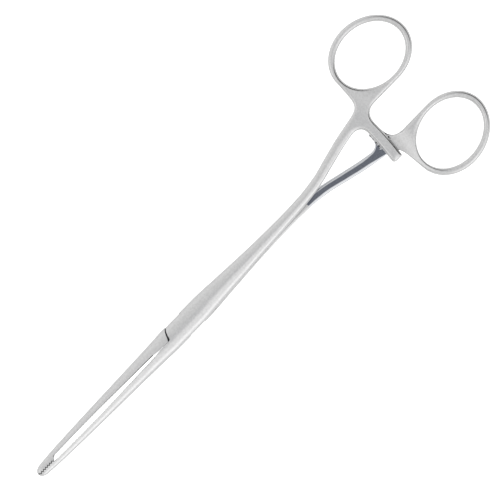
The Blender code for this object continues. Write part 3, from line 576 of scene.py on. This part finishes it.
def handle(bm, arm_reach, arm_inner):
    """Yoke, finger ring and ratchet arm: two surfaces over one plan, joined along the outline."""
    outline = handle_outline(arm_reach, arm_inner)
    opening = [opening_point(360 * i / RING_SEGMENTS) for i in range(RING_SEGMENTS)]
    cut = section(YOKE, False)
    half = len(ROLL_STEPS) * 2
    cut_top = cut[1 : half - 1]
    cut_bottom = list(reversed(cut[half:]))
    edges_from = np.array(outline[:-1] + opening)
    edges_to = np.array(outline[1:] + opening[1:] + opening[:1])

    def distance(point):
        return segment_distance(np.array(point), edges_from, edges_to)

    taken = []
    outer_rows = inset_rows(outline, False, distance, taken)
    opening_rows = inset_rows(opening, True, distance, taken)
    border = outline + [(x, YOKE) for x, z in reversed(cut_top)]
    low = np.array(border).min(axis=0)
    high = np.array(border).max(axis=0)
    points = border + opening
    links = [(i, (i + 1) % len(border)) for i in range(len(border))]
    links += [(len(border) + i, len(border) + (i + 1) % len(opening)) for i in range(len(opening))]
    for rows, closed in ((outer_rows, False), (opening_rows, True)):
        for step, row in enumerate(rows):
            numbers = []
            for point in row:
                numbers.append(len(points) if point else None)
                if point:
                    points.append(point)
            if closed:
                numbers.append(numbers[0])
            else:
                ends = (len(border) - 1 - step, len(outline) + step)
                numbers = [ends[0]] + numbers + [ends[1]]
            links += [(a, b) for a, b in zip(numbers, numbers[1:]) if a is not None and b is not None]
    for radius in np.arange(YOKE + WEB_STEP, RING_DISTANCE, WEB_STEP):
        last = None
        for x in np.arange(low[0], high[0], WEB_STEP):
            place = on_arc(radius, float(x))
            free = inside(place, [border, opening]) and distance(place) > edge_roll(radius) + WEB_STEP / 4
            if free and place[1] > YOKE + WEB_STEP / 2:
                points.append(place)
                if last is not None:
                    links.append((last, len(points) - 1))
                last = len(points) - 1
            else:
                last = None
    found = delaunay_2d_cdt([Vector(p) for p in points], links, [], 0, 1e-7)
    plan, triangles, sources = found[0], found[2], found[3]
    upper = []
    lower = []
    for place, source in zip(plan, sources):
        x, y = place
        index = min(source, default=len(points))
        radius = math.hypot(x, y)
        if len(outline) <= index < len(border):
            k = len(cut_top) - 1 - (index - len(outline))
            upper.append(bm.verts.new((x, YOKE, cut_top[k][1])))
            lower.append(bm.verts.new((x, YOKE, cut_bottom[k][1])))
            continue
        on_edge = index < len(border) + len(opening)
        inset = 0.0 if on_edge else distance((x, y))
        at = YOKE if index in (0, len(outline) - 1) else radius
        top, bottom = levels(
            at, inset, edge_roll(at), flat_edge_roll(at), drop_below(at), widest_level(at)
        )
        upper.append(bm.verts.new((x, y, top)))
        lower.append(upper[-1] if on_edge else bm.verts.new((x, y, bottom)))
    for triangle in triangles:
        middle = sum((plan[i] for i in triangle), Vector((0, 0))) / 3
        if inside(middle, [border, opening]):
            bm.faces.new([upper[i] for i in triangle])
            bm.faces.new([lower[i] for i in reversed(triangle)])


def smooth(mesh):
    mesh.shade_smooth()
    mesh.set_sharp_from_angle(angle=math.radians(SHARP_ANGLE))


def finish(bm, name):
    """Makes an object from a mesh, with its faces pointing out."""
    bmesh.ops.remove_doubles(bm, verts=bm.verts, dist=WELD)
    bmesh.ops.recalc_face_normals(bm, faces=bm.faces)
    mesh = bpy.data.meshes.new(name)
    bm.to_mesh(mesh)
    bm.free()
    smooth(mesh)
    obj = bpy.data.objects.new(name, mesh)
    bpy.context.scene.collection.objects.link(obj)
    return obj


def prism(name, outline, low, high):
    """Upright prism over a plan outline."""
    bm = bmesh.new()
    face = bm.faces.new([bm.verts.new((x, y, low)) for x, y in outline])
    raised = bmesh.ops.extrude_face_region(bm, geom=[face])["geom"]
    corners = [part for part in raised if isinstance(part, bmesh.types.BMVert)]
    bmesh.ops.translate(bm, vec=(0, 0, high - low), verts=corners)
    return finish(bm, name)


def combine(target, other, operation):
    modifier = target.modifiers.new(other.name, "BOOLEAN")
    modifier.operation = operation
    modifier.solver = "EXACT"
    modifier.object = other


def shape_booleans(obj):
    """Turns a piece's Booleans into its mesh, and removes the shapes that they used."""
    tools = [modifier.object for modifier in obj.modifiers]
    for modifier in [m for shape in tools for m in shape.modifiers]:
        tools.append(modifier.object)
    graph = bpy.context.evaluated_depsgraph_get()
    mesh = bpy.data.meshes.new_from_object(obj.evaluated_get(graph))
    mesh.name = obj.name
    obj.modifiers.clear()
    obj.data = mesh
    for shape in tools:
        bpy.data.objects.remove(shape, do_unlink=True)


def gap_half_width():
    """Half the gap between the closed jaws, from their roots to the tip teeth."""
    end = JAW_REACH - TIP_TEETH * TIP_TOOTH_PITCH
    return monotone(
        [
            (-end, JAW_BOW * 0.8),
            (-between(BOW_START, end, 0.85), JAW_BOW * 0.92),
            (-between(BOW_START, end, 0.62), JAW_BOW),
            (-between(BOW_START, end, 0.25), JAW_BOW * 0.64),
            (-between(BOW_START, end, 0.04), JAW_BOW * 0.38),
            (-BOW_START, JAW_SEAM),
        ]
    )


def shoulder(side):
    line = []
    for (x, y), share in zip(SHOULDER, SLIT_SHARES):
        shift = side * SLIT_SHIFT * share
        line.append((x * LOCK_WIDTH + shift, y * LOCK_WIDTH + shift))
    return line


def jaw_face(side, tooth_gap):
    """Inner face of a jaw in plan, from the lock to past the tip. side is +1 for the box half's jaw."""
    gap = gap_half_width()
    start = -SHOULDER[-1][1] * LOCK_WIDTH + JAW_SEAM
    points = [(side * JAW_SEAM, -start), (side * JAW_SEAM, -BOW_START)]
    y = -BOW_START - 3 * MM
    teeth_end = -JAW_REACH + TIP_TEETH * TIP_TOOTH_PITCH
    while y > teeth_end + 3 * MM:
        points.append((side * gap(y), y))
        points.append((side * (gap(y) + SERRATION_DEPTH), y - SERRATION_PITCH / 2))
        y -= SERRATION_PITCH
    line = TIP_TOOTH_OFFSET + side * tooth_gap / 2
    if side < 0:
        points.append((-gap(teeth_end), teeth_end + 1.8 * MM))
    for i in range(TIP_TEETH):
        tooth = teeth_end - i * TIP_TOOTH_PITCH
        crest = line + TIP_TOOTH_DEPTH / 2
        root = line - TIP_TOOTH_DEPTH / 2
        points.append((crest, tooth))
        points.append((root, tooth - TIP_TOOTH_PITCH * 0.5))
    points.append((line, -JAW_REACH - 0.4 * MM))
    points.append((line, -JAW_REACH - 3 * MM))
    return points


def front_parting(side, tooth_gap):
    """Outline of what is cut away from a half in front of the lock: side +1 cuts the box half."""
    line = shoulder(side) + jaw_face(side, tooth_gap)
    far = LOCK_WIDTH
    if side > 0:
        return line + [(-far, -JAW_REACH - 3 * MM), (-far, line[0][1])]
    return line + [(far, -JAW_REACH - 3 * MM), (far, far), (-far, far), (-far, line[0][1])]


def jaw_edge(side):
    """What is taken off the upper inner edge of a jaw: a long wedge that follows the jaw's top."""
    gap = gap_half_width()
    width = JAW_EDGE_WIDTH[side]
    bm = bmesh.new()
    loops = []
    for y in stations(-JAW_REACH + (TIP_TEETH + 1) * TIP_TOOTH_PITCH, -BOW_START - 2 * MM, JAW_EDGE_STEPS):
        top = PARTING_Z + rise_above(y)
        near = gap(y) - width
        profile = [
            (gap(y) + width * 2, top + JAW_EDGE_HEIGHT),
            (near, top + JAW_EDGE_HEIGHT),
            (near, top - JAW_EDGE_HEIGHT * 2),
        ]
        loops.append([bm.verts.new((side * x, y, z)) for x, z in profile])
    skin(bm, loops)
    return finish(bm, "jaw_edge")


def part_front(half, side):
    """Cuts the slit, the jaw's inner face and its teeth, which nearly meet further down."""
    upper = prism("front_parting", front_parting(side, TIP_TOOTH_GAP), TIP_TOOTH_FOOT, LOCK_HEIGHT + MM)
    combine(half, upper, "DIFFERENCE")
    lower = prism("front_parting_foot", front_parting(side, TIP_TOOTH_FOOT_GAP), -MM, TIP_TOOTH_FOOT)
    combine(half, lower, "DIFFERENCE")
    combine(half, jaw_edge(side), "DIFFERENCE")


def heel_line(shift):
    """Rear shoulder and heel in plan, on the underside: box half in front, tongue half behind."""
    rear = [(-x * LOCK_WIDTH, -y * LOCK_WIDTH) for x, y in SHOULDER]
    start = rear[-1]
    edge = -outer_edge(HEEL_END)
    heel = bezier(
        start,
        (start[0], start[1] + 4 * MM),
        (edge * 0.75, HEEL_END - 5 * MM),
        (edge * 1.25, HEEL_END),
        HEEL_LINE_STEPS,
    )
    return [(x + shift, y + shift) for x, y in rear + heel]


def ray_reach(outline, degrees):
    """How far a ray from the pin's axis runs inside an outline around it."""
    direction = (math.cos(math.radians(degrees)), math.sin(math.radians(degrees)))
    best = 0.0
    for (x1, y1), (x2, y2) in zip(outline, outline[1:] + outline[:1]):
        ex, ey = x2 - x1, y2 - y1
        crossing = direction[0] * ey - direction[1] * ex
        if abs(crossing) < 1e-12:
            continue
        along = (x1 * ey - y1 * ex) / crossing
        share = (x1 * direction[1] - y1 * direction[0]) / crossing
        if along > 0 and -1e-9 <= share <= 1 + 1e-9:
            best = max(best, along)
    return best


def lobe(sign):
    """Outline around the pin's disc and one end of the tongue. sign -1 is the end in the jaw."""
    side = LOCK_WIDTH / 2 - TONGUE_SIDE
    far_side = outer_edge(-TONGUE_LOBE) - 2 * TONGUE_SIDE
    corners = [
        (side, LOCK_WIDTH * 0.3),
        (side, LOCK_WIDTH * 0.62),
        (far_side, TONGUE_LOBE),
        (0.35 * MM, TONGUE_LOBE),
    ]
    disc = [
        (TONGUE_RADIUS * math.cos(math.radians(a)), TONGUE_RADIUS * math.sin(math.radians(a)))
        for a in range(0, 360, DISC_STEP)
    ]
    points = [(sign * x, sign * y) for x, y in corners + disc]
    return convex(points)


def convex(points):
    """Convex hull of plan points, counter-clockwise."""
    points = sorted(set(points))

    def chain(ordered):
        hull = []
        for p in ordered:
            while len(hull) > 1:
                (ax, ay), (bx, by) = hull[-2], hull[-1]
                if (bx - ax) * (p[1] - ay) - (by - ay) * (p[0] - ax) > 0:
                    break
                hull.pop()
            hull.append(p)
        return hull[:-1]

    return chain(points) + chain(points[::-1])


LOBES = [lobe(-1), lobe(1)]


def tongue_reach(degrees):
    return max(ray_reach(outline, degrees) for outline in LOBES)


def slot_reach(degrees):
    """The slot holds the tongue at every angle of the opening."""
    turned = np.arange(-SLOT_SWEEP_MARGIN, OPENING + SLOT_SWEEP_MARGIN, 1.0)
    return max(tongue_reach(degrees + turn) for turn in turned) + SLIDE_CLEARANCE


def polar_outline(reach):
    outline = []
    for degrees in range(0, 360, SLOT_STEP):
        distance = reach(degrees)
        angle = math.radians(degrees)
        outline.append((distance * math.cos(angle), distance * math.sin(angle)))
    return outline


def circle(radius):
    angles = [2 * math.pi * i / PIN_SEGMENTS for i in range(PIN_SEGMENTS)]
    return [(radius * math.cos(angle), radius * math.sin(angle)) for angle in angles]


def cylinder(name, radius, low, high):
    return prism(name, circle(radius), low, high)


def ratchet_notches(name, first, teeth):
    """Saw-tooth notches in an arm's flat face, radial to the pin, steep on the side away from the ring."""
    bm = bmesh.new()
    reach = (ARM_INNER - 0.8 * MM, ARM_OUTER + 0.3 * MM)
    face = PARTING_Z - 0.3 * MM
    lip = PARTING_Z + SHANK_FLAT_GAP - FACE_OVERLAP
    root = PARTING_Z + SHANK_FLAT_GAP + RATCHET_DEPTH
    for i in range(teeth):
        start = (first + i * RATCHET_PITCH) / ARM_RADIUS
        steep = start + RATCHET_PITCH * 0.76 / ARM_RADIUS
        end = start + RATCHET_PITCH * 0.92 / ARM_RADIUS
        profile = [(start, face), (start, lip), (steep, root), (end, lip), (end, face)]
        loops = []
        for radius in reach:
            loops.append([bm.verts.new((radius * math.sin(a), radius * math.cos(a), z)) for a, z in profile])
        skin(bm, loops)
    return finish(bm, name)


JAW_STATIONS = [-JAW_REACH + NOSE * share for share in NOSE_STEPS]
JAW_STATIONS += stations(-JAW_REACH + NOSE, -JAW_ROOT, JAW_STEPS)
REAR_STATIONS = (
    stations(HEEL_END + 1.5 * MM, PAIR_WAIST, WAIST_STEPS)
    + stations(PAIR_WAIST, SPLIT, SHANK_STEPS)
    + stations(SPLIT, YOKE, SHANK_STEPS)
    + [YOKE]
)


def box_half():
    """Finger ring, shank, long ratchet arm, box with its slot, and the jaw on the other side."""
    bm = bmesh.new()
    front = JAW_STATIONS + stations(-JAW_ROOT, FACING_START, JAW_ROOT_STEPS[1])
    heel = stations(FACING_START, HEEL_END + 1.2 * MM, HEEL_STEPS)
    loft(bm, [(y, True) for y in front + heel] + [(y, False) for y in REAR_STATIONS], False)
    handle(bm, BOX_ARM_REACH, ARM_INNER)
    half = finish(bm, "box_half_fine")
    part_front(half, 1)
    slack = TONGUE_THICKNESS / 2 + SLIDE_CLEARANCE
    slot = prism("box_slot", polar_outline(slot_reach), PARTING_Z - slack, PARTING_Z + slack)
    combine(half, slot, "DIFFERENCE")
    heel_cut = heel_line(-SLIT_SHIFT)
    far = LOCK_WIDTH
    past_heel = HEEL_END + 4 * MM
    below = heel_cut + [(-far, HEEL_END), (-far, past_heel), (far, past_heel), (far, heel_cut[0][1])]
    room = prism("box_heel_parting", below, -MM, PARTING_Z + SHANK_FLAT_GAP - FACE_OVERLAP)
    combine(half, room, "DIFFERENCE")
    hole = cylinder("box_pin_hole", PIN_RADIUS + PIN_CLEARANCE, -MM, LOCK_HEIGHT - PIN_SKIN)
    combine(half, hole, "DIFFERENCE")
    notches = ratchet_notches("box_ratchet_notches", BOX_RATCHET_START, BOX_RATCHET_TEETH)
    combine(half, notches, "DIFFERENCE")
    return half


def tongue_half():
    """Finger ring, shank, short ratchet arm, the tongue in the box's slot, and the jaw on the other side."""
    turn = Matrix.Translation((0, 0, PARTING_Z)) @ Matrix.Rotation(math.pi, 4, "Y")
    turn = turn @ Matrix.Translation((0, 0, -PARTING_Z))
    bm = bmesh.new()
    heel = stations(LOCK_FLAT * 0.4, HEEL_END + 1.5 * MM, HEEL_STEPS)
    loft(bm, [(y, False) for y in heel + REAR_STATIONS], False)
    handle(bm, TONGUE_ARM_REACH, ARM_INNER - TONGUE_ARM_EXTRA)
    bmesh.ops.transform(bm, matrix=turn, verts=bm.verts)
    half = finish(bm, "tongue_half_fine")
    far = LOCK_WIDTH
    heel_cut = heel_line(SLIT_SHIFT)
    before = heel_cut + [(-far, HEEL_END), (-far, -far), (far, -far), (far, heel_cut[0][1])]
    combine(half, prism("tongue_heel_parting", before, -MM, LOCK_HEIGHT + MM), "DIFFERENCE")
    notches = ratchet_notches("tongue_ratchet_notches", TONGUE_RATCHET_START, TONGUE_RATCHET_TEETH)
    combine(half, notches, "DIFFERENCE")
    notches.data.transform(turn)
    jaw_bm = bmesh.new()
    front = JAW_STATIONS + stations(-JAW_ROOT, 0, JAW_ROOT_STEPS[-1]) + [0.0]
    loft(jaw_bm, [(y, True) for y in front], True)
    jaw = finish(jaw_bm, "tongue_jaw")
    part_front(jaw, -1)
    combine(half, jaw, "UNION")
    half_thickness = TONGUE_THICKNESS / 2
    plate = polar_outline(tongue_reach)
    tongue = prism("tongue_plate", plate, PARTING_Z - half_thickness, PARTING_Z + half_thickness)
    combine(half, tongue, "UNION")
    hole = cylinder("tongue_pin_hole", PIN_RADIUS + PIN_CLEARANCE, 0, LOCK_HEIGHT)
    combine(half, hole, "DIFFERENCE")
    return half


def lock_pin():
    """Pin of the lock, flush with the underside, its ends broken by a small chamfer."""
    top = LOCK_HEIGHT - PIN_SKIN - PIN_CLEARANCE
    end_radius = PIN_RADIUS - PIN_CHAMFER
    profile = [
        (end_radius, 0.0),
        (PIN_RADIUS, PIN_CHAMFER),
        (PIN_RADIUS, top - PIN_CHAMFER),
        (end_radius, top),
    ]
    bm = bmesh.new()
    loops = []
    for radius, z in profile:
        loops.append([bm.verts.new((x, y, z)) for x, y in circle(radius)])
    skin(bm, loops)
    return finish(bm, "lock_pin_fine")


def new_material(name):
    material = bpy.data.materials.new(name)
    material.use_nodes = True
    tree = material.node_tree
    return material, tree, tree.nodes["Principled BSDF"]


def add(tree, kind, **settings):
    node = tree.nodes.new(kind)
    for key, value in settings.items():
        setattr(node, key, value)
    return node


def camera():
    data = bpy.data.cameras.new("camera")
    data.sensor_width = SENSOR
    data.lens = SENSOR * CAMERA_DISTANCE / VIEW_WIDTH
    data.clip_start, data.clip_end = CAMERA_CLIP
    obj = bpy.data.objects.new("camera", data)
    obj.location = (VIEW_CENTRE[0], VIEW_CENTRE[1], CAMERA_DISTANCE)
    obj.rotation_euler = (0, 0, math.radians(VIEW_TURN))
    bpy.context.scene.collection.objects.link(obj)
    bpy.context.scene.camera = obj


def polish_facing_side(piece, node):
    """The faces with which the shanks lie against each other are polished where they part."""
    side = {"box_half": 1, "tongue_half": -1}.get(node)
    if side is None:
        return
    for face in piece.data.polygons:
        height = (face.center.z - PARTING_Z) * side
        radius = math.hypot(face.center.x, face.center.y)
        near = POLISH_START < radius < ARM_INNER + 0.5 * MM and height < widest_level(radius) + 0.01 * MM
        if near and face.center.y > 0 and face.normal.z * side < -0.05:
            face.material_index = 1


def grain(tree, coordinate, scale, detail):
    """A noise over the piece, finer with a larger scale."""
    noise = add(tree, "ShaderNodeTexNoise")
    noise.inputs["Scale"].default_value = scale
    noise.inputs["Detail"].default_value = detail
    tree.links.new(coordinate, noise.inputs["Vector"])
    return noise.outputs["Fac"]


def noise_to(tree, value, low, high):
    """Spreads a noise over low to high."""
    node = add(tree, "ShaderNodeMapRange")
    tree.links.new(value, node.inputs["Value"])
    node.inputs["From Min"].default_value = NOISE_RANGE[0]
    node.inputs["From Max"].default_value = NOISE_RANGE[1]
    node.inputs["To Min"].default_value = low
    node.inputs["To Max"].default_value = high
    return node.outputs[0]


def steel(name, color, roughness, bump_depth):
    """Steel whose sharp edges are slightly broken, with a fine grain, and painted shade darkening its
    crevices.
    """
    material, tree, shader = new_material(name)
    shader.inputs["Metallic"].default_value = 1.0
    place = add(tree, "ShaderNodeTexCoord").outputs["Object"]

    shade = noise_to(tree, grain(tree, place, *MOTTLE_NOISE), 1 - MOTTLE, 1 + MOTTLE)
    tinted = add(tree, "ShaderNodeVectorMath", operation="SCALE")
    tinted.inputs[0].default_value = color
    tree.links.new(shade, tinted.inputs["Scale"])

    # Painted shade: ambient occlusion darkens the base colour in crevices, the slit and corners between parts
    hollow = add(tree, "ShaderNodeAmbientOcclusion", samples=CREVICE_SAMPLES)
    hollow.inputs["Distance"].default_value = CREVICE_WIDTH
    open_share = add(tree, "ShaderNodeMapRange", interpolation_type="SMOOTHSTEP")
    tree.links.new(hollow.outputs["AO"], open_share.inputs["Value"])
    open_share.inputs["From Min"].default_value = CREVICE_DARK
    open_share.inputs["From Max"].default_value = CREVICE_CLEAR
    crevice_shade_mix = add(tree, "ShaderNodeMix", data_type="RGBA")
    tree.links.new(open_share.outputs[0], crevice_shade_mix.inputs["Factor"])
    crevice_shade_mix.inputs[6].default_value = CREVICE_SHADE_COLOR
    tree.links.new(tinted.outputs[0], crevice_shade_mix.inputs[7])
    tree.links.new(crevice_shade_mix.outputs[2], shader.inputs["Base Color"])

    low, high = roughness - ROUGHNESS_SPREAD, roughness + ROUGHNESS_SPREAD
    dull = noise_to(tree, grain(tree, place, *DULL_NOISE), low, high)
    tree.links.new(dull, shader.inputs["Roughness"])

    edge = add(tree, "ShaderNodeBevel", samples=EDGE_SAMPLES)
    edge.inputs["Radius"].default_value = EDGE_BREAK
    bump = add(tree, "ShaderNodeBump")
    bump.inputs["Strength"].default_value = 1.0
    bump.inputs["Distance"].default_value = bump_depth
    tree.links.new(grain(tree, place, *GRAIN_NOISE), bump.inputs["Height"])
    tree.links.new(edge.outputs[0], bump.inputs["Normal"])
    tree.links.new(bump.outputs[0], shader.inputs["Normal"])
    return material


def floor():
    """A white floor with a glow of its own."""
    mesh = bpy.data.meshes.new("floor")
    half = FLOOR_SIZE / 2
    corners = [(-half, -half), (half, -half), (half, half), (-half, half)]
    mesh.from_pydata([(x, y, -FLOOR_GAP) for x, y in corners], [], [(0, 1, 2, 3)])
    obj = bpy.data.objects.new("floor", mesh)
    bpy.context.scene.collection.objects.link(obj)
    material, tree, shader = new_material("floor_white")
    tree.nodes.remove(shader)
    out = tree.nodes["Material Output"]
    diffuse = add(tree, "ShaderNodeBsdfDiffuse")
    diffuse.inputs["Color"].default_value = (FLOOR_GREY, FLOOR_GREY, FLOOR_GREY, 1)
    glow = add(tree, "ShaderNodeEmission")
    path = add(tree, "ShaderNodeLightPath")
    glossy = add(tree, "ShaderNodeMath", operation="MULTIPLY_ADD")
    tree.links.new(path.outputs["Is Glossy Ray"], glossy.inputs[0])
    glossy.inputs[1].default_value = FLOOR_GLOW_METAL
    glossy.inputs[2].default_value = FLOOR_GLOW
    camera_ray = add(tree, "ShaderNodeMath", operation="MULTIPLY_ADD")
    tree.links.new(path.outputs["Is Camera Ray"], camera_ray.inputs[0])
    camera_ray.inputs[1].default_value = FLOOR_GLOW_CAMERA
    tree.links.new(glossy.outputs[0], camera_ray.inputs[2])
    tree.links.new(camera_ray.outputs[0], glow.inputs["Strength"])
    both = add(tree, "ShaderNodeAddShader")
    tree.links.new(diffuse.outputs[0], both.inputs[0])
    tree.links.new(glow.outputs[0], both.inputs[1])
    tree.links.new(both.outputs[0], out.inputs["Surface"])
    mesh.materials.append(material)


def toward(azimuth, elevation):
    """Unit vector; azimuth is in the picture: 0 to its right, 90 to its top."""
    a = math.radians(azimuth + VIEW_TURN)
    e = math.radians(elevation)
    return (math.cos(a) * math.cos(e), math.sin(a) * math.cos(e), math.sin(e))


def studio():
    """A soft room, brighter at the picture's left and lower right, dim at its upper right and overhead."""
    world = bpy.data.worlds.new("studio")
    bpy.context.scene.world = world
    world.use_nodes = True
    tree = world.node_tree
    background = tree.nodes["Background"]
    direction = add(tree, "ShaderNodeTexCoord").outputs["Generated"]
    seen = None
    for azimuth, elevation, full, end, color in PATCHES:
        dot = add(tree, "ShaderNodeVectorMath", operation="DOT_PRODUCT")
        tree.links.new(direction, dot.inputs[0])
        dot.inputs[1].default_value = toward(azimuth, elevation)
        share = add(tree, "ShaderNodeMapRange", interpolation_type="SMOOTHSTEP")
        share.inputs["From Min"].default_value = math.cos(math.radians(end))
        share.inputs["From Max"].default_value = math.cos(math.radians(full))
        tree.links.new(dot.outputs["Value"], share.inputs["Value"])
        laid = add(tree, "ShaderNodeMix", data_type="RGBA")
        tree.links.new(share.outputs[0], laid.inputs["Factor"])
        laid.inputs[6].default_value = (SURROUND, SURROUND, SURROUND, 1)
        if seen:
            tree.links.new(seen, laid.inputs[6])
        laid.inputs[7].default_value = (*color, 1)
        seen = laid.outputs[2]
    path = add(tree, "ShaderNodeLightPath")
    shown = add(tree, "ShaderNodeMix", data_type="RGBA")
    tree.links.new(path.outputs["Is Camera Ray"], shown.inputs["Factor"])
    tree.links.new(seen, shown.inputs[6])
    shown.inputs[7].default_value = (1, 1, 1, 1)
    tree.links.new(shown.outputs[2], background.inputs["Color"])


camera()
floor()
studio()
satin = steel("satin_steel", **SATIN)
polished = steel("polished_steel", **POLISHED)
bodies = {"box_half": "box_side", "lock_pin": "box_side", "tongue_half": "tongue_side"}
makers = {"box_half": box_half, "lock_pin": lock_pin, "tongue_half": tongue_half}
for node, body in bodies.items():
    piece = makers[node]()
    shape_booleans(piece)
    smooth(piece.data)
    piece.data.materials.clear()
    piece.data.materials.append(satin)
    piece.data.materials.append(polished)
    polish_facing_side(piece, node)
    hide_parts(node)
    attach(piece, body)

bpy.context.scene.view_settings.view_transform = "Standard"
